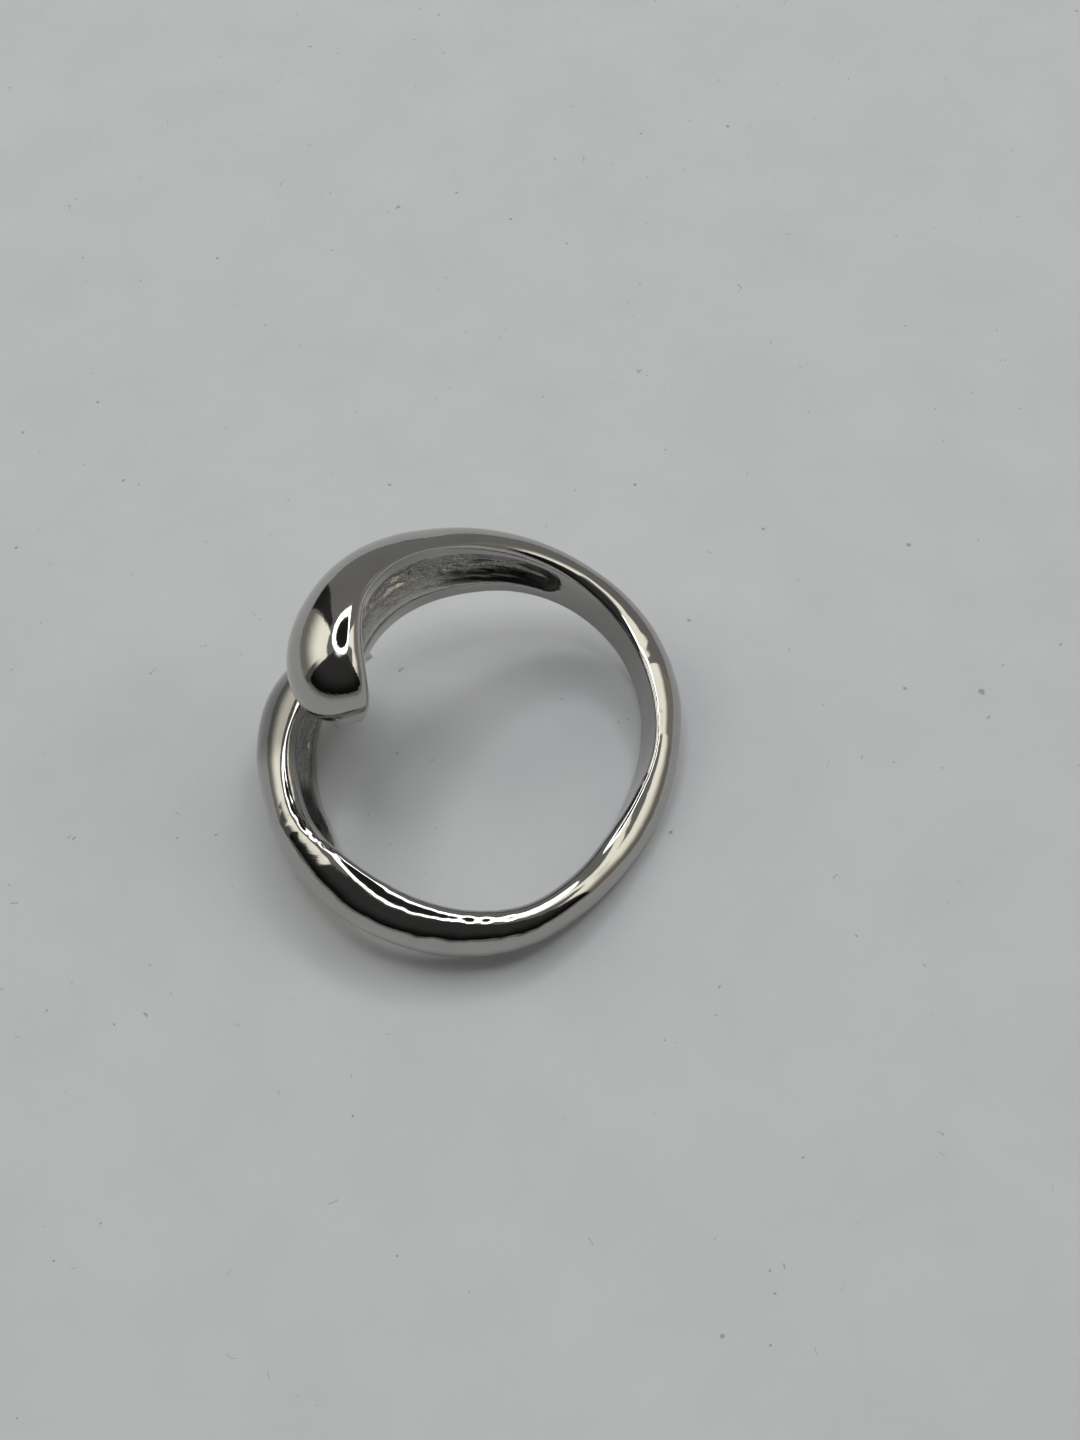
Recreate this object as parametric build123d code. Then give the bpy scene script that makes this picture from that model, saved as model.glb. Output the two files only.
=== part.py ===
from build123d import *
import math
import os

# An open ring that wraps past itself: one cast band, thin at the back, whose two arms
# widen into domed drop-shaped ends that lie one above the other. The inner face is flat
# across, the outside is domed, and a long pocket is sunk into the inner face behind each end.

# Driving sizes, in millimetres.
finger_radius = 8.65
bulb_width = 7.2
bulb_height = 3.5
end_gap = 0.8
edge_radius = 0.5
pocket_upper_rim = 0.15
pocket_lower_rim = 0.35
pocket_end_width = 0.9

# Driving angles, in degrees, counted round the finger from the thin back of the band.
upper_tip_angle = 212.8
lower_tip_angle = 201.0
upper_rounding_angle = 31.4
lower_rounding_angle = 23.9
upper_pocket_angle = 87.0
lower_pocket_angle = 118.0
pocket_end_angle = 9.0

# What follows those sizes. The two ends pass each other, so each is raised or lowered by half
# of a bulb's width and of the gap between them.
end_rise = (bulb_width + end_gap) / 2
pocket_depth_share = 0.42
tip_rounding_power = 2.25
tip_height_power = 0.7
upper_tip_lift_share = 0.06
lower_tip_lift_share = 0.45
table_turn_angle = -23.3

# One row per section of the upper arm, from the back to its tip. The angle is a share of
# the tip's angle, width and thickness are shares of the bulb's width and height, rise is a
# share of the end's rise, bore is a share of the finger radius, and edge is a share of the
# edge radius. Roll leans the section, in degrees, as a band that has been opened and closed
# by hand does.
# Columns: angle, width, thickness, rise, roll, bore, edge.
upper_arm = [
    (0.000, 0.322, 0.540, -0.003, -0.1, 0.913, 0.60),
    (0.095, 0.390, 0.498, 0.040, 0.2, 0.974, 0.48),
    (0.190, 0.418, 0.537, 0.077, 8.0, 1.040, 0.44),
    (0.284, 0.399, 0.542, 0.123, 8.2, 1.088, 0.44),
    (0.379, 0.392, 0.528, 0.222, -0.8, 1.086, 0.43),
    (0.474, 0.457, 0.571, 0.396, -7.6, 1.027, 0.39),
    (0.545, 0.549, 0.614, 0.534, -8.9, 0.974, 0.34),
    (0.616, 0.646, 0.660, 0.672, -8.5, 0.938, 0.28),
    (0.687, 0.746, 0.738, 0.806, -9.3, 0.922, 0.28),
    (0.758, 0.826, 0.838, 0.914, -10.9, 0.911, 0.44),
    (0.829, 0.862, 0.915, 0.982, -11.4, 0.892, 0.86),
    (0.900, 0.862, 0.992, 1.020, -3.4, 0.860, 1.66),
    (1.000, 0.856, 1.080, 1.084, 11.0, 0.802, 3.19),
]

# The lower arm, in the same columns, with its rise counted downwards.
lower_arm = [
    (0.000, 0.322, 0.540, 0.003, -0.1, 0.913, 0.60),
    (0.099, 0.307, 0.514, 0.058, 8.4, 0.910, 0.85),
    (0.197, 0.338, 0.465, 0.058, 14.2, 0.975, 1.05),
    (0.296, 0.363, 0.467, 0.113, 17.0, 1.061, 1.02),
    (0.394, 0.409, 0.488, 0.226, 15.1, 1.096, 0.82),
    (0.493, 0.423, 0.566, 0.368, 8.1, 1.091, 0.65),
    (0.567, 0.518, 0.619, 0.539, -9.6, 1.059, 0.62),
    (0.640, 0.667, 0.654, 0.753, -26.6, 1.016, 0.66),
    (0.714, 0.796, 0.649, 0.905, -24.1, 0.996, 0.58),
    (0.788, 0.887, 0.691, 0.944, -19.9, 0.990, 0.36),
    (0.862, 0.948, 0.746, 0.905, -9.6, 0.963, 0.22),
    (0.936, 0.981, 0.770, 0.842, 5.3, 0.886, 0.30),
    (1.000, 1.000, 0.780, 0.800, 15.0, 0.796, 0.60),
]


# The other arm's second row, placed before an arm's first one, so that the band runs smoothly
# through the back.
def row_before(other_arm, other_tip_angle, tip_angle):
    angle, width, thickness, rise, roll, bore, edge = other_arm[1]
    return (-angle * other_tip_angle / tip_angle, width, thickness, -rise, roll, bore, edge)


upper_rows = [row_before(lower_arm, lower_tip_angle, upper_tip_angle)] + upper_arm
lower_rows = [row_before(upper_arm, upper_tip_angle, lower_tip_angle)] + lower_arm


# Reads a column of an arm between its rows, along a smooth curve through them.
def between_rows(rows, share, column):
    last = len(rows) - 2
    row = 0
    while row < last and rows[row + 1][0] < share:
        row = row + 1
    start, end = rows[row], rows[row + 1]
    before = rows[max(row - 1, 0)]
    after = rows[min(row + 2, len(rows) - 1)]
    span = end[0] - start[0]
    slope_in = (end[column] - before[column]) / (end[0] - before[0]) * span
    slope_out = (after[column] - start[column]) / (after[0] - start[0]) * span
    t = (share - start[0]) / span
    return (
        (2 * t**3 - 3 * t**2 + 1) * start[column]
        + (t**3 - 2 * t**2 + t) * slope_in
        + (3 * t**2 - 2 * t**3) * end[column]
        + (t**3 - t**2) * slope_out
    )


# The band at an angle: positive angles run up the upper arm, negative down the lower one.
# Near a tip the whole section shrinks, so that the arm closes like the end of a drop, and its
# inner face lifts by a share of the thickness, so that the tip isn't a knife edge.
def band_at(angle):
    upper = angle >= 0
    rows = upper_rows if upper else lower_rows
    tip = upper_tip_angle if upper else lower_tip_angle
    rounding_angle = upper_rounding_angle if upper else lower_rounding_angle
    lift_share = upper_tip_lift_share if upper else lower_tip_lift_share
    share = abs(angle) / tip
    rise_sign = 1 if upper else -1
    past = max(0.0, (abs(angle) - (tip - rounding_angle)) / rounding_angle)
    rounding = math.sqrt(max(0.0, 1 - past**tip_rounding_power))
    half = between_rows(rows, share, 1) * bulb_width * rounding / 2
    height = between_rows(rows, share, 2) * bulb_height
    thickness = height * rounding**tip_height_power
    edge = between_rows(rows, share, 6) * edge_radius * rounding
    return {
        "half": half,
        "thickness": thickness,
        "lift": height * lift_share * (1 - rounding),
        "edge": min(edge, half * 0.8, thickness * 0.6),
        "rise": between_rows(rows, share, 3) * end_rise * rise_sign,
        "roll": math.radians(between_rows(rows, share, 4)),
        "bore": between_rows(rows, share, 5) * finger_radius,
    }


# A plane square across the band: x runs across the inner face, y points out of the ring.
def section_plane(angle):
    band = band_at(angle)
    turn = math.radians(angle)
    radial = Vector(math.cos(turn), math.sin(turn), 0)
    axial = Vector(0, 0, 1)
    across = axial * math.cos(band["roll"]) - radial * math.sin(band["roll"])
    outward = radial * math.cos(band["roll"]) + axial * math.sin(band["roll"])
    middle = radial * band["bore"] + axial * band["rise"] + outward * band["lift"]
    return Plane(origin=middle, x_dir=across, z_dir=across.cross(outward))


# A section of the metal: a flat inner face, two softened edges and a half-ellipse dome.
def band_section(angle):
    band = band_at(angle)
    half = band["half"]
    edge = band["edge"]
    dome = EllipticalCenterArc((0, edge), half, band["thickness"] - edge, start_angle=0, arc_size=180)
    near_edge = RadiusArc((-half, edge), (-half + edge, 0), -edge)
    face = Line((-half + edge, 0), (half - edge, 0))
    far_edge = RadiusArc((half - edge, 0), (half, edge), -edge)
    return section_plane(angle) * make_face([dome, near_edge, face, far_edge])


# Angles of the sections of one arm, closer together where its tip rounds over.
def arm_angles(rows, tip_angle, rounding_angle):
    closing = [0.1, 0.34, 0.56, 0.74, 0.87, 0.95, 0.985]
    start = tip_angle - rounding_angle
    angles = [row[0] * tip_angle for row in rows if row[0] * tip_angle <= start]
    return angles + [start + part * rounding_angle for part in closing]


# A section of a pocket's cutter: a straight mouth that starts in the finger hole and a
# rounded floor. Opening goes from 0 at a pocket's ends to 1 where it is full.
def pocket_section(angle, opening):
    band = band_at(angle)
    full = 2 * (band["half"] - band["edge"]) - pocket_upper_rim - pocket_lower_rim
    half = (pocket_end_width + (full - pocket_end_width) * opening) / 2
    depth = pocket_depth_share * band["thickness"] * (0.35 + 0.65 * opening)
    middle = (pocket_lower_rim - pocket_upper_rim) / 2
    wall = depth * 0.25
    mouth = -band["thickness"] * 0.3
    floor = EllipticalCenterArc((middle, wall), half, depth - wall, start_angle=0, arc_size=180)
    low_wall = Line((middle - half, wall), (middle - half, mouth))
    opening_line = Line((middle - half, mouth), (middle + half, mouth))
    high_wall = Line((middle + half, mouth), (middle + half, wall))
    return section_plane(angle) * make_face([floor, low_wall, opening_line, high_wall])


# The solid that sinks one pocket, between its narrow end and the rounded tip.
def pocket_cutter(narrow_angle, tip_angle, rounding_angle, side):
    wide_angle = tip_angle - rounding_angle * 0.5
    shares = [0, 0.03, 0.08, 0.16, 0.28, 0.42, 0.56, 0.7, 0.82, 0.91, 0.97, 1]
    sections = []
    for share in shares:
        angle = narrow_angle + (wide_angle - narrow_angle) * share
        start_opening = min(1, (angle - narrow_angle) / pocket_end_angle)
        end_opening = min(1, (wide_angle - angle) / pocket_end_angle)
        opening = math.sin(math.pi / 2 * min(start_opening, end_opening)) ** 0.8
        sections.append(pocket_section(side * angle, opening))
    return loft(sections)


# The lowest point of the outside between two angles, looking along a downward direction. The
# swing goes round each section from one softened edge (-120 degrees) over the dome (-90 to
# 90) to the other edge (120).
def lowest_point(start, end, down):
    lowest = None
    for step in range(121):
        angle = start + (end - start) * step / 120
        band = band_at(angle)
        plane = section_plane(angle)
        edge = band["edge"]
        for swing in range(-120, 121, 5):
            on_dome = math.radians(max(-90, min(90, swing)))
            on_edge = math.radians(max(0, abs(swing) - 90))
            across = math.sin(on_dome) * (band["half"] - edge + edge * math.cos(on_edge))
            outward = edge - edge * math.sin(on_edge) + math.cos(on_dome) * (band["thickness"] - edge)
            point = plane.from_local_coords(Vector(across, outward, 0))
            if lowest is None or point.dot(down) > lowest.dot(down):
                lowest = point
    return lowest


# The direction that points at the table when the ring lies at rest on its side: the ring
# stands on its lower end, on its near arm and on its back, so the plane through the three
# lowest points of those stretches is found again until it stays the same.
def resting_direction():
    down = Vector(0, 0, -1)
    for _ in range(8):
        end_point = lowest_point(-lower_tip_angle, -0.65 * lower_tip_angle, down)
        arm_point = lowest_point(-0.5 * lower_tip_angle, -5, down)
        back_point = lowest_point(2, 0.4 * upper_tip_angle, down)
        across = (arm_point - end_point).cross(back_point - end_point).normalized()
        down = across if across.Z < 0 else across * -1
    return down


def lay_on_table(ring):
    down = resting_direction()
    table = Plane(origin=(0, 0, 0), x_dir=Vector(0, 1, 0).cross(down * -1), z_dir=down * -1)
    lying = Rot(0, 0, table_turn_angle) * (table.location.inverse() * ring)
    box = lying.bounding_box()
    return Pos(-box.center().X, -box.center().Y, -box.min.Z) * lying


upper_angles = arm_angles(upper_arm, upper_tip_angle, upper_rounding_angle)
lower_angles = arm_angles(lower_arm, lower_tip_angle, lower_rounding_angle)
ring_angles = [-angle for angle in reversed(lower_angles[1:])] + upper_angles
ring = loft([band_section(angle) for angle in ring_angles])
ring = ring - pocket_cutter(upper_pocket_angle, upper_tip_angle, upper_rounding_angle, 1)
ring = ring - pocket_cutter(lower_pocket_angle, lower_tip_angle, lower_rounding_angle, -1)
ring = lay_on_table(ring)

os.makedirs("parts", exist_ok=True)
export_step(ring, "parts/open_ring.step")
print("ring box", ring.bounding_box().size, "volume", round(ring.volume, 2))
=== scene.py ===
# %% [markdown]
# An open ring, cast in one piece and polished: a band that is thin at the back of the finger
# and widens into two domed drop-shaped ends, which pass each other instead of meeting. The
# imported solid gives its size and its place. This file dresses it: the same band is modelled
# once more as a fine mesh, because polished metal shows every facet as a kink in what it
# mirrors, and because the cast pockets and the worn polish need relief that a solid leaves out.

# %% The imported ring
import math

import bmesh
import bpy
from mathutils import Matrix, Vector, noise


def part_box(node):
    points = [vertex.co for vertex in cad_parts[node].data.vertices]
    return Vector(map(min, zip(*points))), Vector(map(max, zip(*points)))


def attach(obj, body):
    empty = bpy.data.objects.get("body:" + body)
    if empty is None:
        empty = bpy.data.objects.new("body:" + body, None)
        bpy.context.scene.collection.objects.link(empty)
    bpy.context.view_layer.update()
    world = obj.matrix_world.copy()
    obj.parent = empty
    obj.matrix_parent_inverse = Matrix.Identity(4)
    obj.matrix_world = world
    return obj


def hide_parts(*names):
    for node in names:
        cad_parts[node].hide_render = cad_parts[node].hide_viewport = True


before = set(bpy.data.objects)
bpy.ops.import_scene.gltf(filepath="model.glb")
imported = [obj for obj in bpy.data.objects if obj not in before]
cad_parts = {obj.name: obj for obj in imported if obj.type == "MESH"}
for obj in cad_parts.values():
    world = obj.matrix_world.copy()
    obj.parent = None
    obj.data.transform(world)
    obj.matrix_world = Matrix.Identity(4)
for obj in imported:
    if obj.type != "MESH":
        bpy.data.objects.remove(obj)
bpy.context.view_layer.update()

# %% [markdown]
# A few real lengths set the whole ring: the hole that the finger goes through, and the width
# and height of a domed end. The rest could be measured one by one, but a shape whose other
# sizes follow from these can be made for another finger by changing one number.

# %% Sizes of the ring, in metres
mm = 0.001
finger_radius = 8.65 * mm
bulb_width = 7.2 * mm
bulb_height = 3.5 * mm
end_gap = 0.8 * mm
end_rise = (bulb_width + end_gap) / 2
edge_radius = 0.5 * mm
pocket_upper_rim = 0.15 * mm
pocket_lower_rim = 0.35 * mm
pocket_end_width = 0.9 * mm
pocket_depth_share = 0.42
upper_tip_angle = 212.8
lower_tip_angle = 201.0
upper_rounding_angle = 31.4
lower_rounding_angle = 23.9
tip_rounding_power = 2.25
tip_height_power = 0.7
upper_tip_lift_share = 0.06
lower_tip_lift_share = 0.45
table_turn_angle = -23.3
print("the finger hole is about", round(2 * finger_radius / mm, 1), "mm across")

# %% [markdown]
# A ring is easiest to describe before it is bent: how wide and how thick the band is, how far
# its middle climbs along the finger, how much it leans and how wide the finger hole is, each at
# a few places on the way round. The band could also be sculpted, but a table keeps the mesh and
# the solid the same shape, so the tables here hold the proportions that the solid has too.

# %% The two arms, from the thin back to the drop-shaped ends
# Columns: share of the tip's angle, width, thickness, rise, roll in degrees, bore, edge.
upper_arm = [
    (0.000, 0.322, 0.540, -0.003, -0.1, 0.913, 0.60),
    (0.095, 0.390, 0.498, 0.040, 0.2, 0.974, 0.48),
    (0.190, 0.418, 0.537, 0.077, 8.0, 1.040, 0.44),
    (0.284, 0.399, 0.542, 0.123, 8.2, 1.088, 0.44),
    (0.379, 0.392, 0.528, 0.222, -0.8, 1.086, 0.43),
    (0.474, 0.457, 0.571, 0.396, -7.6, 1.027, 0.39),
    (0.545, 0.549, 0.614, 0.534, -8.9, 0.974, 0.34),
    (0.616, 0.646, 0.660, 0.672, -8.5, 0.938, 0.28),
    (0.687, 0.746, 0.738, 0.806, -9.3, 0.922, 0.28),
    (0.758, 0.826, 0.838, 0.914, -10.9, 0.911, 0.44),
    (0.829, 0.862, 0.915, 0.982, -11.4, 0.892, 0.86),
    (0.900, 0.862, 0.992, 1.020, -3.4, 0.860, 1.66),
    (1.000, 0.856, 1.080, 1.084, 11.0, 0.802, 3.19),
]
lower_arm = [
    (0.000, 0.322, 0.540, 0.003, -0.1, 0.913, 0.60),
    (0.099, 0.307, 0.514, 0.058, 8.4, 0.910, 0.85),
    (0.197, 0.338, 0.465, 0.058, 14.2, 0.975, 1.05),
    (0.296, 0.363, 0.467, 0.113, 17.0, 1.061, 1.02),
    (0.394, 0.409, 0.488, 0.226, 15.1, 1.096, 0.82),
    (0.493, 0.423, 0.566, 0.368, 8.1, 1.091, 0.65),
    (0.567, 0.518, 0.619, 0.539, -9.6, 1.059, 0.62),
    (0.640, 0.667, 0.654, 0.753, -26.6, 1.016, 0.66),
    (0.714, 0.796, 0.649, 0.905, -24.1, 0.996, 0.58),
    (0.788, 0.887, 0.691, 0.944, -19.9, 0.990, 0.36),
    (0.862, 0.948, 0.746, 0.905, -9.6, 0.963, 0.22),
    (0.936, 0.981, 0.770, 0.842, 5.3, 0.886, 0.30),
    (1.000, 1.000, 0.780, 0.800, 15.0, 0.796, 0.60),
]


def row_before(other_arm, other_tip_angle, tip_angle):
    """The other arm's second row, placed before an arm's first: the back then has no kink."""
    share, width, thickness, rise, roll, bore, edge = other_arm[1]
    return (-share * other_tip_angle / tip_angle, width, thickness, -rise, roll, bore, edge)


upper_rows = [row_before(lower_arm, lower_tip_angle, upper_tip_angle)] + upper_arm
lower_rows = [row_before(upper_arm, upper_tip_angle, lower_tip_angle)] + lower_arm
print("the upper arm has", len(upper_rows), "rows and the lower arm", len(lower_rows))

# %% [markdown]
# Between two rows the metal flows on without a kink. Straight lines between them would show as
# bands in the reflections, so each size follows a smooth curve whose slope at a row comes from
# the rows on both sides of it.

# %% Reading the tables
def between_rows(rows, share, column):
    """Reads one column of an arm between its rows, along a smooth curve through them."""
    last = len(rows) - 2
    row = 0
    while row < last and rows[row + 1][0] < share:
        row = row + 1
    start, end = rows[row], rows[row + 1]
    before = rows[max(row - 1, 0)]
    after = rows[min(row + 2, len(rows) - 1)]
    span = end[0] - start[0]
    slope_in = (end[column] - before[column]) / (end[0] - before[0]) * span
    slope_out = (after[column] - start[column]) / (after[0] - start[0]) * span
    t = (share - start[0]) / span
    return (
        (2 * t**3 - 3 * t**2 + 1) * start[column]
        + (t**3 - 2 * t**2 + t) * slope_in
        + (3 * t**2 - 2 * t**3) * end[column]
        + (t**3 - t**2) * slope_out
    )


def smooth_step(value, low, high):
    """0 below low, 1 above high, and a soft change between them."""
    t = min(1.0, max(0.0, (value - low) / (high - low)))
    return t * t * (3 - 2 * t)


def over(stretch, angle):
    """1 on a stretch of the band and 0 off it; a stretch starts, is full, fades and ends."""
    start, full, fades, end = stretch
    return smooth_step(angle, start, full) * (1 - smooth_step(angle, fades, end))


print("halfway to the upper tip the band is", round(between_rows(upper_rows, 0.5, 1), 3), "of the full width")

# %% [markdown]
# At any angle the band has one cross-section: a flat inner face, two softened edges and a
# domed outside. Positive angles run up the arm that ends on top, negative ones down the arm
# that passes below it. Near a tip the section closes like the end of a drop. One outline could
# be swept along a curve instead, but here width, height and lean all change on the way.

# %% One cross-section of the band
widest_edge_of_half, widest_edge_of_thickness = 0.8, 0.6


def band_at(angle):
    """Width, thickness, direction and place of the band at an angle in degrees."""
    upper = angle >= 0
    rows = upper_rows if upper else lower_rows
    tip = upper_tip_angle if upper else lower_tip_angle
    rounding_angle = upper_rounding_angle if upper else lower_rounding_angle
    share = abs(angle) / tip
    past = max(0.0, (abs(angle) - (tip - rounding_angle)) / rounding_angle)
    rounding = math.sqrt(max(0.0, 1 - past**tip_rounding_power))
    half = between_rows(rows, share, 1) * bulb_width * rounding / 2
    thickness = between_rows(rows, share, 2) * bulb_height * rounding**tip_height_power
    edge = between_rows(rows, share, 6) * edge_radius * rounding
    lift_share = upper_tip_lift_share if upper else lower_tip_lift_share
    lift = lift_share * between_rows(rows, share, 2) * bulb_height * (1 - rounding)
    bore = between_rows(rows, share, 5) * finger_radius
    rise = between_rows(rows, share, 3) * end_rise * (1 if upper else -1)
    roll = math.radians(between_rows(rows, share, 4))
    turn = math.radians(angle)
    radial = Vector((math.cos(turn), math.sin(turn), 0))
    axial = Vector((0, 0, 1))
    outward = radial * math.cos(roll) + axial * math.sin(roll)
    return {
        "angle": angle,
        "upper": upper,
        "tip": tip,
        "rounding_angle": rounding_angle,
        "half": half,
        "thickness": thickness,
        "edge": min(edge, half * widest_edge_of_half, thickness * widest_edge_of_thickness),
        "across": axial * math.cos(roll) - radial * math.sin(roll),
        "outward": outward,
        "middle": radial * bore + axial * rise + outward * lift,
    }


back = band_at(0)
back_sizes = [round(size / mm, 2) for size in (2 * back["half"], back["thickness"])]
print("the back of the band is", back_sizes[0], "mm wide and", back_sizes[1], "mm thick")

# %% [markdown]
# Behind each end the inner face is hollowed by a long pocket, which saves metal in the
# casting. It opens from a rounded end to almost the whole width of the arm. It could be cut
# with a boolean, but a mouth and a depth worked out for each section keep the mesh in rows.

# %% The pocket in the inner face
pocket_start = {True: 87.0, False: 118.0}
pocket_end_angle = 9.0
pocket_corner = 0.45 * mm
pocket_opening_power = 0.8
depth_at_end = 0.35
narrowest_half = 0.08 * mm
widest_mouth_share, farthest_middle_share = 0.7, 0.1
rounding_share_before_tip = 0.5


def pocket_at(band):
    """Where the mouth of the pocket lies across the face, and how deep its floor is."""
    angle = abs(band["angle"])
    start = pocket_start[band["upper"]]
    end = band["tip"] - band["rounding_angle"] * rounding_share_before_tip
    inside = min(angle - start, end - angle)
    opened = min(1.0, max(0.0, inside / pocket_end_angle))
    opening = math.sin(math.pi / 2 * opened) ** pocket_opening_power
    flat = band["half"] - band["edge"]
    full = max(2 * flat - pocket_upper_rim - pocket_lower_rim, 0.0)
    half = (min(pocket_end_width, full) + max(full - pocket_end_width, 0.0) * opening) / 2
    reach = max(0.0, min(1.0, math.radians(inside) * finger_radius / pocket_corner))
    corner = math.sqrt(1 - (1 - reach) ** 2)
    half = max(narrowest_half, half * corner) if inside > 0 else half
    half = min(half, widest_mouth_share * flat)
    middle = min((pocket_lower_rim - pocket_upper_rim) / 2, farthest_middle_share * flat)
    depth = pocket_depth_share * band["thickness"] * (depth_at_end + (1 - depth_at_end) * opening)
    depth = depth * smooth_step(reach, 0.0, 0.5) if inside > 0 else 0.0
    return half, middle, depth


print("the upper pocket is", round(pocket_at(band_at(150))[2] / mm, 2), "mm deep halfway along")

# %% [markdown]
# The band starts as a flat grid. One side of the grid runs along the band, the other goes
# once round its section, and every vertex is then carried to its place on the ring, as if a
# sheet were rolled into a tube and bent round the finger. A grid keeps the rows of faces in
# line with the form, which is what makes the reflections flow.

# %% Rows along the sheet
sheet_steps_along = 510
sheet_steps_round = 190
tip_share_of_steps = 0.17
tip_crowding = 2.67


def angle_along(share):
    """The band's angle for a share of the sheet's length, with rows crowded into the tips."""
    if share < tip_share_of_steps:
        past = 1 - (share / tip_share_of_steps) ** tip_crowding
        return -(lower_tip_angle - lower_rounding_angle * (1 - past))
    if share > 1 - tip_share_of_steps:
        past = 1 - ((1 - share) / tip_share_of_steps) ** tip_crowding
        return upper_tip_angle - upper_rounding_angle * (1 - past)
    start = -(lower_tip_angle - lower_rounding_angle)
    end = upper_tip_angle - upper_rounding_angle
    return start + (end - start) * (share - tip_share_of_steps) / (1 - 2 * tip_share_of_steps)


bands = [band_at(angle_along(row / sheet_steps_along)) for row in range(sheet_steps_along + 1)]
for band in bands:
    band["pocket"] = pocket_at(band)
first_angle, last_angle = (round(band["angle"]) for band in (bands[0], bands[-1]))
print("the sheet has", len(bands), "rows, from", first_angle, "to", last_angle, "degrees")

# %% [markdown]
# Once round the section, the surface is the floor of the pocket, its wall, a narrow rim, the
# softened edge and the dome. The wall is steep towards the upper edge and slopes towards the
# lower one, where the mould needs draft to let the wax out. Wear has softened the upper edge
# in two places, on the far arm and beside the lower pocket.

# %% Once round the section
# Shares of the way from the middle of the inner face to the top of the dome.
floor_ends, wall_ends, rim_ends, edge_ends = 0.31, 0.42, 0.47, 0.54
# Width of the wall as a share of the pocket's half width.
steep_wall = 0.06
sloping_wall = {True: 0.42, False: 0.14}
worn_far_edge, far_wear = (52, 75, 118, 140), 1.3
worn_near_edge, near_wear = (-166, -144, -138, -112), 1.1
widest_edge_share = 0.7
# Depth of a floor at the foot of its walls as a share of its full depth, and where it is full.
sloping_foot, steep_foot, lower_foot = 0.52, 0.35, 0.3
lower_crease = 0.25


def floor_profile(upper, across):
    """Depth of the pocket's floor from its lower edge (-1) to its upper edge (1)."""
    if upper and across < 0:
        return sloping_foot + (1 - sloping_foot) * (1 - across**2)
    if upper:
        return steep_foot + (1 - steep_foot) * (1 - across**2.4) ** 0.6
    side_width = 1 - lower_crease if across > lower_crease else 1 + lower_crease
    reach = (across - lower_crease) / side_width
    return lower_foot + (1 - lower_foot) * (1 - abs(reach) ** 1.4)


def softened_edge(band, side):
    """Radius of the edge on the upper (1) or lower (-1) side of the band."""
    if side < 0:
        return band["edge"]
    wear = far_wear * over(worn_far_edge, band["angle"]) + near_wear * over(worn_near_edge, band["angle"])
    return min(band["edge"] * (1 + wear), widest_edge_share * band["half"])


def section_point(band, share):
    """Place in the section: across the face, out from it, and how much it is pocket."""
    half, middle, depth = band["pocket"]
    side = 1 if share < 0.5 else -1
    part = 2 * share if share < 0.5 else 2 * (1 - share)
    soft = softened_edge(band, side)
    flat = band["half"] - soft
    wall = steep_wall if side > 0 else sloping_wall[band["upper"]]
    if part < floor_ends:
        t = part / floor_ends
        return middle + side * half * t * (1 - wall), depth * floor_profile(band["upper"], side * t), 1.0
    if part < wall_ends:
        t = (part - floor_ends) / (wall_ends - floor_ends)
        foot_depth = depth * floor_profile(band["upper"], side)
        slope = 0.6 * t + 0.4 * smooth_step(t, 0, 1)
        return middle + side * half * (1 - wall + wall * t), foot_depth * (1 - slope), 1 - t
    if part < rim_ends:
        t = (part - wall_ends) / (rim_ends - wall_ends)
        mouth = middle + side * half
        return mouth + (side * flat - mouth) * t, 0.0, 0.0
    if part < edge_ends:
        turn = math.pi / 2 * (part - rim_ends) / (edge_ends - rim_ends)
        return side * (flat + soft * math.sin(turn)), soft * (1 - math.cos(turn)), 0.0
    t = (part - edge_ends) / (1 - edge_ends)
    turn = math.pi / 2 * (0.4 * t + 0.6 * t * t)
    dome = band["thickness"] - soft
    return side * band["half"] * math.cos(turn), soft + dome * math.sin(turn), 0.0


top_of_dome = section_point(bands[len(bands) // 2], 0.5)[1]
print("halfway along the sheet the dome is", round(top_of_dome / mm, 2), "mm high")

# %% [markdown]
# The metal isn't perfectly even. The polishing wheel can't reach into the pockets, so the skin
# there stays as it was cast: the upper one shows ridges along the arm, which break up towards
# the tip, and the lower one is pitted, with lumps where it begins. Outside, hand polishing
# leaves a gentle waviness that makes straight reflections wander and bead, most of all on the
# near arm and next on the thin loop. Relief this fine is too uneven for a solid, so it is noise.

# %% Relief of the cast and of the polished skin
# Each grain is a length along the arm and a width across it.
ridge_height, ridge_grain, fine_ridge_grain = 0.12 * mm, (2.2 * mm, 0.26 * mm), (1.3 * mm, 0.15 * mm)
chip_grain = (0.5 * mm, 0.24 * mm)
ridges_break_up = (112, 150)
pit_depth, pit_grain, even_floor = 0.16 * mm, (0.36 * mm, 0.24 * mm), 0.12
lump_height, lump_grain = 0.11 * mm, (0.34 * mm, 0.26 * mm)
hammered_patch = (-138, -131, -119, -112)
wander_height, wander_grain = 0.011 * mm, (1.7 * mm, 1.2 * mm)
bead_height, bead_grain = 0.026 * mm, (0.5 * mm, 0.8 * mm)
beaten_near_arm = (-165, -140, -62, -45)
beaten_thin_loop, thin_loop_strength = (-20, 5, 55, 75), 0.6
ding_depth, ding_angle, ding_across = 0.03 * mm, -133.6, 2.51 * mm
ding_angle_reach, ding_reach = 0.9, 0.14 * mm


def ripple(along, across, grain_size, layer=0):
    """Smooth noise, mostly between -0.5 and 0.5; another layer gives another pattern."""
    long, wide = grain_size
    return noise.noise(Vector((along / long, across / wide, layer)))


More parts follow.
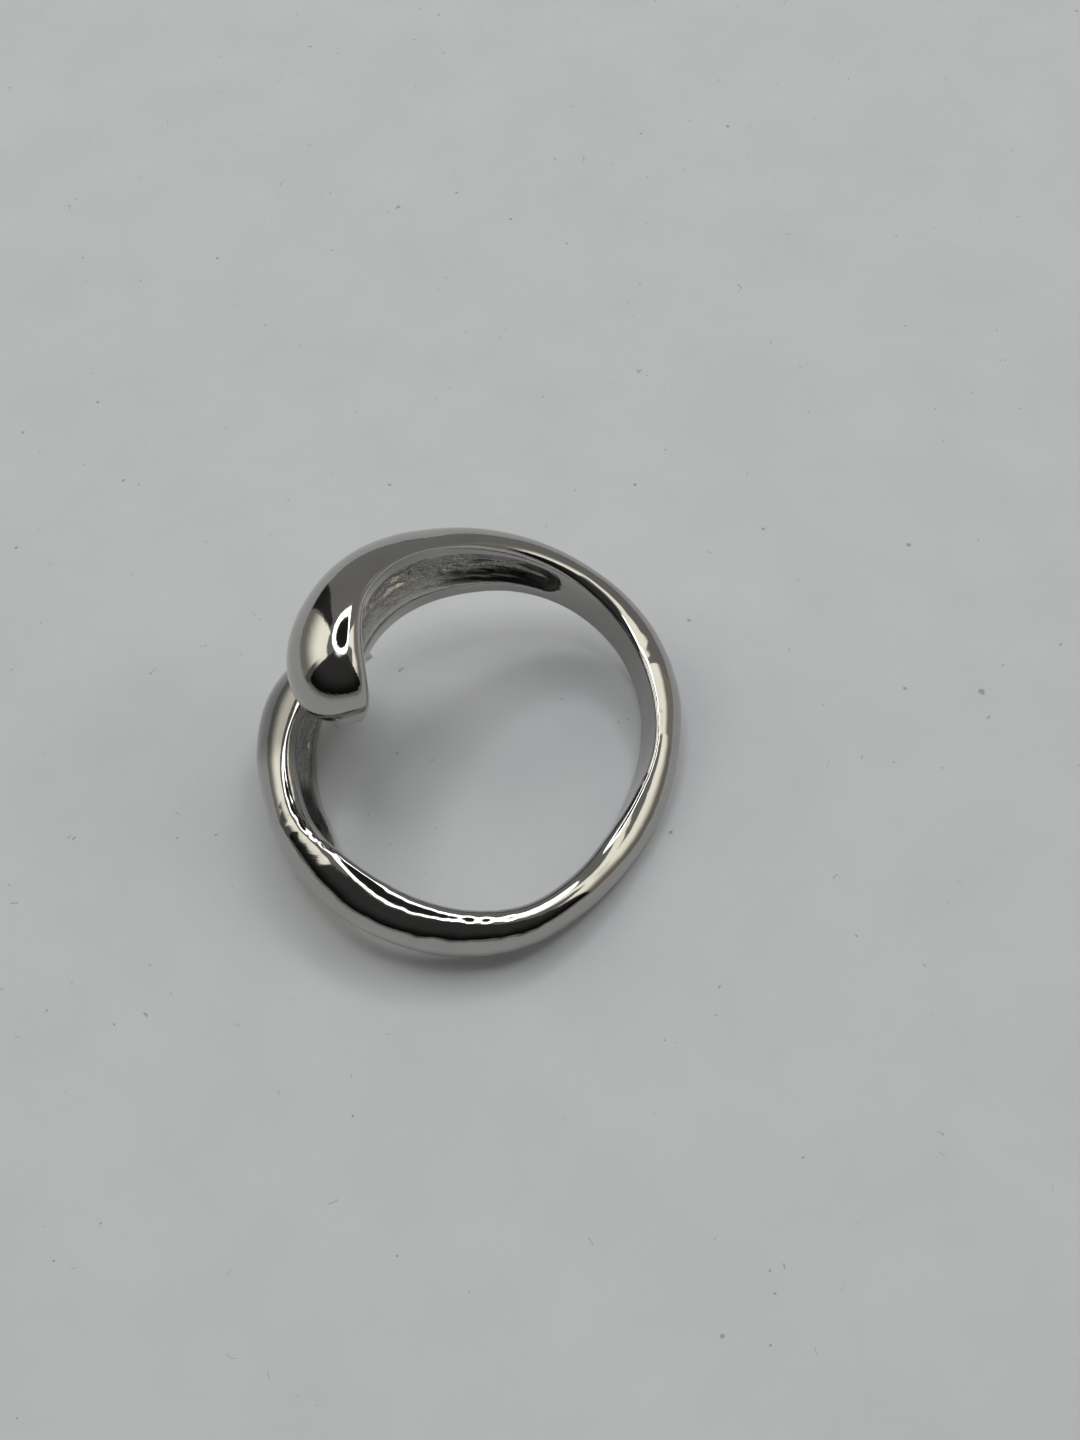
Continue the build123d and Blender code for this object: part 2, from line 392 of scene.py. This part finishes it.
def hammered(band, x, along):
    """Small bright lumps where the lower pocket begins, on its floor and on the face beside it."""
    return lump_height * over(hammered_patch, band["angle"]) * ripple(along, x, lump_grain, 13)


def cast_relief(band, x, along):
    """Height of the cast skin over the even floor of a pocket."""
    if band["upper"]:
        broken = smooth_step(band["angle"], *ridges_break_up)
        ridges = ripple(along, x, ridge_grain) + 0.6 * ripple(along, x, fine_ridge_grain, 3)
        chips = ripple(along + x, x, chip_grain, 7)
        return ridge_height * (ridges * (1 - 0.4 * broken) + chips * broken)
    pits = min(0.0, ripple(along, x, pit_grain, 11) + even_floor)
    return pit_depth * pits + hammered(band, x, along)


def polished_relief(band, x, along, inner_face):
    """Height of the polished skin over the even form, with one small ding on the near arm."""
    angle = band["angle"]
    beaten = over(beaten_near_arm, angle) + thin_loop_strength * over(beaten_thin_loop, angle)
    wander = wander_height * (1 + 1.2 * beaten) * ripple(along, x, wander_grain, 17)
    beads = bead_height * (0.04 + 0.96 * beaten) * ripple(along, x, bead_grain, 19)
    from_ding = ((angle - ding_angle) / ding_angle_reach) ** 2 + ((x - ding_across) / ding_reach) ** 2
    ding = ding_depth * math.exp(-from_ding)
    return wander + beads - ding + (hammered(band, x, along) if inner_face else 0)


one_ridge = cast_relief(band_at(105), 0.1 * mm, 16 * mm)
print("at one spot of the upper pocket the cast skin is", round(one_ridge / mm, 3), "mm off its floor")

# %% [markdown]
# Painted shade: the lower wall of the upper pocket and a stretch of the lower pocket are painted
# dark, standing in for the dark that these hollows mirror, and the lower end is painted darker near
# the place where the ends pass, standing in for the shade under the upper end. The mesh carries all of it as
# one amount, for the metal to read.

# %% Painted shade in the pockets and on the lower end
# Painted shade: stretches of the band where the pockets are painted dark, and where the lower end is painted
# darker under the upper end.
shaded_lower_pocket = (-154, -146, -132, -127)
shaded_upper_wall = (94, 101, 124, 132)
shade_across_wall = (0.46, 0.56, 0.92, 1.0)
shade_raggedness, shade_grain = 0.15, (0.5 * mm, 0.5 * mm)
shaded_lower_end, lower_end_shade_strength = (-184, -168, -157, -148), 0.5


def painted_pocket_shade(band, x, along):
    """How much painted shade darkens the cast skin of a pocket."""
    if not band["upper"]:
        return over(shaded_lower_pocket, band["angle"])
    half, middle, _ = band["pocket"]
    down_the_wall = (middle - x) / max(half, 0.01 * mm)
    ragged = shade_raggedness * ripple(along, x, shade_grain, 23)
    return over(shade_across_wall, down_the_wall + ragged) * over(shaded_upper_wall, band["angle"])


print("soot in the middle of the lower pocket:", painted_pocket_shade(band_at(-140), 0.0, 0.0))

# %% [markdown]
# Now the sheet is carried to its place, vertex by vertex, with the relief added outwards from
# a core inside the metal, so that it works on the edges too. The sides of the sheet meet in
# the middle of the inner face and its ends close into the two tips, so merging doubles leaves
# a closed skin with no seam.

# %% The sheet, carried to its place
full_cast_depth = 0.1 * mm
full_relief_half = 1.0 * mm
core_height_share, core_flatness = 0.4, 0.6
same_place = 1e-8

ring_mesh = bmesh.new()
bmesh.ops.create_grid(ring_mesh, x_segments=sheet_steps_along, y_segments=sheet_steps_round, size=0.5)
angle_layer, cast_layer, painted_shade_layer, along_layer, across_layer = (
    ring_mesh.verts.layers.float.new(name) for name in ("angle", "as_cast", "painted_shade", "along", "across")
)
for vert in ring_mesh.verts:
    band = bands[round((vert.co.x + 0.5) * sheet_steps_along)]
    share = round((vert.co.y + 0.5) * sheet_steps_round) / sheet_steps_round
    x, y, pocket = section_point(band, share)
    along = math.radians(band["angle"]) * finger_radius
    as_cast = pocket * smooth_step(band["pocket"][2], 0, full_cast_depth)
    polish = polished_relief(band, x, along, y < band["edge"])
    skin = as_cast * cast_relief(band, x, along) + (1 - as_cast) * polish
    from_core = Vector((x, core_flatness * (y - core_height_share * band["thickness"]))).normalized()
    fade_into_tip = min(1.0, band["half"] / full_relief_half)
    lift = from_core.lerp(Vector((0, -1)), as_cast) * skin * fade_into_tip
    # Painted shade on the polished lower end, where the upper end passes over it.
    lower_end_shade = lower_end_shade_strength * over(shaded_lower_end, band["angle"])
    vert[angle_layer] = band["angle"]
    vert[cast_layer] = as_cast
    # One amount of painted shade: dark pockets on the cast skin, the darker lower end on the polished skin.
    vert[painted_shade_layer] = as_cast * painted_pocket_shade(band, x, along) + (1 - as_cast) * lower_end_shade
    vert[along_layer] = along / mm
    vert[across_layer] = x / mm
    vert.co = band["middle"] + band["across"] * (x + lift.x) + band["outward"] * (y + lift.y)
bmesh.ops.remove_doubles(ring_mesh, verts=ring_mesh.verts, dist=same_place)
bmesh.ops.recalc_face_normals(ring_mesh, faces=ring_mesh.faces)
open_edges = [edge for edge in ring_mesh.edges if len(edge.link_faces) != 2]
print("sheet rolled:", len(ring_mesh.verts), "vertices,", len(open_edges), "open edges")

# %% [markdown]
# Left on a table, the open ring lies on its side: its lower end, its near arm and its back
# touch the table. The three lowest points of those stretches give a plane, and the plane is
# found again from the new lowest points until it stays the same. A rigid body simulation would
# let it fall into the same rest, but three points give it at once and the same every time.

# %% Laying it on the table
# First and last angle of the lower end, of the near arm and of the back.
resting_stretches = [
    (-lower_tip_angle, -0.65 * lower_tip_angle),
    (-0.5 * lower_tip_angle, -5),
    (2, 0.4 * upper_tip_angle),
]
settling_rounds = 8
down = Vector((0, 0, -1))
for _ in range(settling_rounds):
    contacts = []
    for first, last in resting_stretches:
        stretch = [vert.co for vert in ring_mesh.verts if first <= vert[angle_layer] <= last]
        contacts.append(max(stretch, key=down.dot).copy())
    upright = (contacts[1] - contacts[0]).cross(contacts[2] - contacts[0]).normalized()
    down = upright if upright.z < 0 else -upright
up = -down
side = Vector((0, 1, 0)).cross(up).normalized()
lying = Matrix((side, up.cross(side), up)).to_4x4()
placing = Matrix.Rotation(math.radians(table_turn_angle), 4, "Z") @ lying
bmesh.ops.transform(ring_mesh, matrix=placing, verts=ring_mesh.verts)
low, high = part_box("open_ring")
corner, far_corner = (
    Vector([end(vert.co[axis] for vert in ring_mesh.verts) for axis in range(3)]) for end in (min, max)
)
shift = (low + high) / 2 - (corner + far_corner) / 2
shift.z = low.z - corner.z
bmesh.ops.translate(ring_mesh, vec=shift, verts=ring_mesh.verts)
growth = (far_corner - corner) - (high - low)
print("lean of the finger hole:", round(math.degrees(up.angle(Vector((0, 0, 1)))), 1), "degrees")
print("box of the mesh against the solid, mm:", [round(value / mm, 3) for value in growth])

# %% [markdown]
# The mesh becomes an object, which stands for the imported solid and moves with its body. Every
# face is shaded smooth, because the whole skin is one polished surface and even its edges are rounded.

# %% The ring as an object
ring_data = bpy.data.meshes.new("polished_ring")
ring_mesh.to_mesh(ring_data)
ring_mesh.free()
for polygon in ring_data.polygons:
    polygon.use_smooth = True
polished_ring = bpy.data.objects.new("polished_ring", ring_data)
bpy.context.scene.collection.objects.link(polished_ring)
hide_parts("open_ring")
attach(polished_ring, "root")
print("the ring has", len(ring_data.polygons), "faces")

# %% [markdown]
# A shader graph reads best as arithmetic. This small class wraps one output socket, so that
# adding or multiplying two of them adds the Math node, and one method makes any other node.

# %% Writing shader nodes as arithmetic
def feed(node, sockets):
    """Sets the sockets of a node to values, or links wires to them."""
    for name, value in sockets.items():
        if isinstance(value, Wire):
            value.tree.links.new(value.socket, node.inputs[name])
        else:
            node.inputs[name].default_value = value


class Wire:
    """An output socket that takes part in sums like a number."""

    def __init__(self, tree, socket=None):
        self.tree = tree
        self.socket = socket

    def node(self, kind, settings, sockets, output=0):
        """Adds a node of any type: its settings first, then the values or links of its sockets."""
        made = self.tree.nodes.new(kind)
        for name, value in settings.items():
            setattr(made, name, value)
        feed(made, sockets)
        return Wire(self.tree, made.outputs[output])

    def maths(self, operation, *values):
        return self.node("ShaderNodeMath", {"operation": operation}, dict(enumerate(values)))

    def __add__(self, other):
        return self.maths("ADD", self, other)

    def __radd__(self, other):
        return self.maths("ADD", other, self)

    def __sub__(self, other):
        return self.maths("SUBTRACT", self, other)

    def __rsub__(self, other):
        return self.maths("SUBTRACT", other, self)

    def __mul__(self, other):
        return self.maths("MULTIPLY", self, other)

    def __rmul__(self, other):
        return self.maths("MULTIPLY", other, self)

    def between(self, low, high):
        """0 where the value is low and below, 1 where it is high and above."""
        sockets = {"Value": self, "From Min": low, "From Max": high}
        return self.node("ShaderNodeMapRange", {"interpolation_type": "SMOOTHSTEP"}, sockets)

    def blend(self, first, second):
        """Mixes two colours by this value."""
        first, second = ((*end, 1) if isinstance(end, tuple) else end for end in (first, second))
        return self.node("ShaderNodeMix", {"data_type": "RGBA"}, {0: self, 6: first, 7: second}, 2)


def new_material(name):
    """A material, its main shader, and a wire that starts a graph in it."""
    material = bpy.data.materials.new(name)
    material.use_nodes = True
    tree = material.node_tree
    return material, tree.nodes["Principled BSDF"], Wire(tree)


def grain(wire, place, size, detail=2.0, rough=0.5):
    """Noise in the object's own metres; size is the size of one grain in metres."""
    mapped = wire.node("ShaderNodeMapping", {}, {"Vector": place, "Scale": Vector((1, 1, 1)) / size})
    sockets = {"Vector": mapped, "Scale": 1.0, "Detail": detail, "Roughness": rough}
    return wire.node("ShaderNodeTexNoise", {"noise_dimensions": "3D"}, sockets)


print("materials can now be written as sums of wires")

# %% [markdown]
# Bright plating on cast brass is a warm silver. It isn't a perfect mirror: the wheel leaves
# haze and hair-fine marks along the arm, and the pockets keep the grainy skin of the mould.
# Colour, roughness and a fine bump follow the amounts that the mesh carries. The marks could
# be drawn on Object coordinates, but only the mesh's own along and across bend with the arm.

# %% Polished metal
bright_plating, hazy_plating = (0.47, 0.46, 0.445), (0.44, 0.43, 0.41)
dark_cast, bright_cast = (0.20, 0.195, 0.19), (0.44, 0.43, 0.41)
# Colour of the painted shade in the pockets and on the lower end.
painted_shade_colour = (0.05, 0.045, 0.045)
haze_size, grit_size = 2.5 * mm, 0.1 * mm
hairs_along, hairs_across = 0.6, 11.0
hair_depth, cast_hair_depth, grit_depth = 3.2e-6, 2.4e-5, 1.6e-5
mirror_roughness, haze_roughness, hair_roughness = 0.04, 0.03, 0.03
cast_roughness, grit_roughness = 0.02, 0.14

metal, metal_shader, wire = new_material("polished_metal")
place = wire.node("ShaderNodeTexCoord", {}, {}, "Object")
cast_skin, painted_shade, along, across = (
    wire.node("ShaderNodeAttribute", {"attribute_name": name}, {}, "Fac")
    for name in ("as_cast", "painted_shade", "along", "across")
)
haze = grain(wire, place, haze_size, 3.0).between(0.35, 0.7)
grit = grain(wire, place, grit_size, 3.0, 0.6)
hair_place = wire.node("ShaderNodeCombineXYZ", {}, {"X": along * hairs_along, "Y": across * hairs_across})
hair_sockets = {"Vector": hair_place, "Scale": 1.0, "Detail": 3.0, "Roughness": 0.6}
hairlines = wire.node("ShaderNodeTexNoise", {}, hair_sockets)
polished_colour = haze.blend(bright_plating, hazy_plating)
cast_colour = grit.between(0.35, 0.6).blend(dark_cast, bright_cast)
cast_height = grit * grit_depth + hairlines * cast_hair_depth
skin_height = hairlines * (1 - cast_skin) * hair_depth + cast_height * cast_skin
polished_roughness = mirror_roughness + haze * haze_roughness + hairlines * hair_roughness
# The painted shade amount from the mesh darkens the base colour towards the painted shade colour.
feed(metal_shader, {
    "Metallic": 1.0,
    "Base Color": painted_shade.blend(cast_skin.blend(polished_colour, cast_colour), painted_shade_colour),
    "Roughness": polished_roughness + cast_skin * (cast_roughness + grit * grit_roughness),
    "Normal": wire.node("ShaderNodeBump", {}, {"Height": skin_height, "Distance": 1.0, "Strength": 1.0}),
})
ring_data.materials.append(metal)
print("polished metal has", len(metal.node_tree.nodes), "nodes")

# %% [markdown]
# The ring lies on plain pale paper. Paper is never quite even: it has a soft cloudiness, a fine
# tooth that catches the light, and here and there a stray fibre or a speck. All of them are
# noise in the sheet's own place, since nothing on it stands high enough to need a mesh.

# %% Paper
paper_half_size = 0.4
shaded_sheet, light_sheet = (0.69, 0.715, 0.755), (0.72, 0.745, 0.785)
fibre_colour = (0.45, 0.45, 0.46)
cloud_size, tooth_size = 7 * mm, 0.35 * mm
cloud_depth, tooth_depth = 4e-5, 1.2e-5
fibre_curl, fibre_spacing, speck_spacing = 1.6 * mm, 0.9 * mm, 0.5 * mm

paper_mesh = bmesh.new()
bmesh.ops.create_grid(paper_mesh, x_segments=1, y_segments=1, size=paper_half_size)
paper_data = bpy.data.meshes.new("paper")
paper_mesh.to_mesh(paper_data)
paper_mesh.free()
paper = bpy.data.objects.new("paper", paper_data)
bpy.context.scene.collection.objects.link(paper)
paper_material, paper_shader, wire = new_material("paper")
place = wire.node("ShaderNodeTexCoord", {}, {}, "Object")
clouds = grain(wire, place, cloud_size, 3.0, 0.6)
tooth = grain(wire, place, tooth_size, 3.0, 0.65)
bends = grain(wire, place, fibre_curl, 1.0)
thread = wire.maths("ABSOLUTE", bends - 0.5).between(0.009, 0.003)
fibres = thread * grain(wire, place, fibre_spacing, 0.0).between(0.77, 0.8)
specks = grain(wire, place, speck_spacing, 0.0).between(0.86, 0.89)
sheet = clouds.between(0.3, 0.7).blend(shaded_sheet, light_sheet)
paper_height = tooth * tooth_depth + clouds * cloud_depth
feed(paper_shader, {
    "Base Color": wire.maths("MAXIMUM", fibres, specks).blend(sheet, fibre_colour),
    "Roughness": 0.9,
    "Specular IOR Level": 0.3,
    "Normal": wire.node("ShaderNodeBump", {}, {"Height": paper_height, "Distance": 1.0}),
})
paper_data.materials.append(paper_material)
print("paper has", len(paper_material.node_tree.nodes), "nodes")

# %% [markdown]
# A polished ring shows the room more than itself, so the room is built from a few large shapes
# round it, placed by the direction in which the ring sees them. Each is a curved screen that
# glows from one colour at its foot to another at its top, as a window does, and that the camera
# can't see. Area lights would be simpler, but they have one even glow.

# %% Hanging cards round the ring
card_distance = 0.8
screen_steps_up, screen_steps_round = 8, 12


def towards(azimuth, elevation):
    """A direction from the ring: azimuth 0 is to the right, 90 to the back."""
    turn, climb = math.radians(azimuth), math.radians(elevation)
    return Vector((math.cos(turn) * math.cos(climb), math.sin(turn) * math.cos(climb), math.sin(climb)))


def hang(name, shape, low_glow, high_glow, change=(0, 1)):
    """Hangs a card that glows from low_glow to high_glow between two elevations."""
    data = bpy.data.meshes.new(name)
    shape.to_mesh(data)
    shape.free()
    card = bpy.data.objects.new(name, data)
    bpy.context.scene.collection.objects.link(card)
    card.visible_camera = False
    material, shader, wire = new_material(name)
    place = wire.node("ShaderNodeTexCoord", {}, {}, "Object")
    height = wire.node("ShaderNodeSeparateXYZ", {}, {"Vector": place}, "Z")
    limits = [card_distance * math.sin(math.radians(elevation)) for elevation in change]
    feed(shader, {
        "Base Color": (0, 0, 0, 1),
        "Roughness": 1.0,
        "Specular IOR Level": 0.0,
        "Emission Color": height.between(*limits).blend(low_glow, high_glow),
        "Emission Strength": 1.0,
    })
    data.materials.append(material)
    print(name, "glows up to", max(high_glow))


def screen(azimuths, elevations):
    """A curved screen between two azimuths and two elevations, as the ring sees it."""
    shape = bmesh.new()
    corner = shape.verts.new(towards(azimuths[0], elevations[0]) * card_distance)
    turn = math.radians(azimuths[0])
    climb_axis = Vector((math.sin(turn), -math.cos(turn), 0))
    climb, sweep = (math.radians(last - first) for first, last in (elevations, azimuths))
    bmesh.ops.spin(shape, geom=[corner], axis=climb_axis, angle=climb, steps=screen_steps_up)
    post = shape.verts[:] + shape.edges[:]
    bmesh.ops.spin(shape, geom=post, axis=(0, 0, 1), angle=sweep, steps=screen_steps_round)
    return shape


print("screens hang", card_distance, "m from the ring")

# %% [markdown]
# The oval that shines on the upper end and the thin bright lines along the near arm are one
# round lamp with a dark middle, mirrored by a dome and by a narrow edge. It is a disc with its
# middle cut away by an inset, and a second disc that closes the hole with almost no light.

# %% The round lamp
lamp_distance = 0.7
lamp_azimuth, lamp_elevation = 64, 75.5
lamp_outer_angle, lamp_inner_angle = 21.0, 14.0
lamp_segments = 96
lamp_middle_share = 0.98
lamp_strength, lamp_tint = 4.8, (1.0, 0.995, 0.985)
lamp_middle_glow = (0.02, 0.02, 0.02)

lamp_outer, lamp_inner = (
    lamp_distance * math.tan(math.radians(angle)) for angle in (lamp_outer_angle, lamp_inner_angle)
)
lamp_direction = towards(lamp_azimuth, lamp_elevation)
facing = (-lamp_direction).to_track_quat("Z", "Y").to_matrix().to_4x4()
lamp_place = Matrix.Translation(lamp_direction * lamp_distance) @ facing
lamp = bmesh.new()
bmesh.ops.create_circle(lamp, cap_ends=True, radius=lamp_outer, segments=lamp_segments)
bmesh.ops.inset_individual(lamp, faces=lamp.faces[:], thickness=lamp_outer - lamp_inner)
bmesh.ops.delete(lamp, geom=[max(lamp.faces, key=lambda face: len(face.verts))], context="FACES")
bmesh.ops.transform(lamp, matrix=lamp_place, verts=lamp.verts)
lamp_glow = tuple(lamp_strength * part for part in lamp_tint)
hang("round_lamp", lamp, lamp_glow, lamp_glow)
lamp_middle = bmesh.new()
middle_radius = lamp_inner * lamp_middle_share
bmesh.ops.create_circle(lamp_middle, cap_ends=True, radius=middle_radius, segments=lamp_segments)
bmesh.ops.transform(lamp_middle, matrix=lamp_place, verts=lamp_middle.verts)
hang("lamp_middle", lamp_middle, lamp_middle_glow, lamp_middle_glow)

# %% [markdown]
# The broad reflections are the room: a window to each side, the left one ending in a thin
# curtain and the right one in a bright shelf that reaches less high, a dark wall along the near
# side, and a dark post that cuts the left light on the upper dome. Soft grey fills all that is
# left. A picture of a real room could do the same, but a few screens can be moved one by one.

# %% Windows, walls and the room
# Columns: name, azimuths, elevations, glow at the foot, glow at the top, elevations of the change.
screens = [
    ("left_window", (133, 184), (-2, 63), (0.26, 0.26, 0.24), (1.6, 1.57, 1.37), (10, 46)),
    ("left_curtain", (184, 193), (-2, 63), (0.12, 0.12, 0.115), (1.5, 1.47, 1.29), (27, 51)),
    ("right_window", (4, 24), (-2, 63), (0.30, 0.28, 0.24), (1.6, 1.56, 1.36), (24, 40)),
    ("right_shelf", (-18, 4), (-2, 43), (0.24, 0.225, 0.195), (1.6, 1.56, 1.36), (12, 34)),
    ("dark_wall", (-167, -20), (7, 79), (0.006, 0.006, 0.006), (0.05, 0.05, 0.05), (12, 50)),
    ("dark_post", (119, 131), (0, 58), (0.02, 0.02, 0.02), (0.04, 0.04, 0.04), (0, 40)),
]
for name, azimuths, elevations, low_glow, high_glow, change in screens:
    hang(name, screen(azimuths, elevations), low_glow, high_glow, change)

room_grey = (0.23, 0.23, 0.225, 1)
world = bpy.data.worlds.new("room")
bpy.context.scene.world = world
world.use_nodes = True
feed(world.node_tree.nodes["Background"], {"Color": room_grey, "Strength": 1.0})
print("the room has", len(screens), "screens")

# %% [markdown]
# The camera looks down at the ring at a steep angle, so that both of its ends show, and close
# enough that the ring fills the middle of the picture. It is rolled by a few degrees, since a
# picture taken without a stand is rarely level.

# %% Camera
target = Vector((3.54, 3.58, 0)) * mm
camera_elevation = 58.6
camera_distance = 85.1 * mm
camera_roll = -4.6
film_height, lens_length = 36, 39.6
nearest_seen = 0.005

climb = math.radians(camera_elevation)
backwards = Vector((0, -math.cos(climb), math.sin(climb)))
camera_data = bpy.data.cameras.new("camera")
camera_data.sensor_fit = "VERTICAL"
camera_data.sensor_height = film_height
camera_data.lens = lens_length
camera_data.clip_start = nearest_seen
camera = bpy.data.objects.new("camera", camera_data)
camera.location = target + backwards * camera_distance
looking = backwards.to_track_quat("Z", "Y").to_matrix()
camera.rotation_euler = (looking @ Matrix.Rotation(math.radians(camera_roll), 3, "Z")).to_euler()
bpy.context.scene.collection.objects.link(camera)
bpy.context.scene.camera = camera
bpy.context.scene.view_settings.view_transform = "Standard"
print("camera stands", round(camera_distance / mm, 1), "mm from its target")

# %% [markdown]
# The dressed ring is meant to be the size of the imported solid; the difference of the two boxes
# is printed where the ring is laid on the table.

# %% Sizes for comparison
print("the difference of the boxes is printed where the ring is laid on the table")
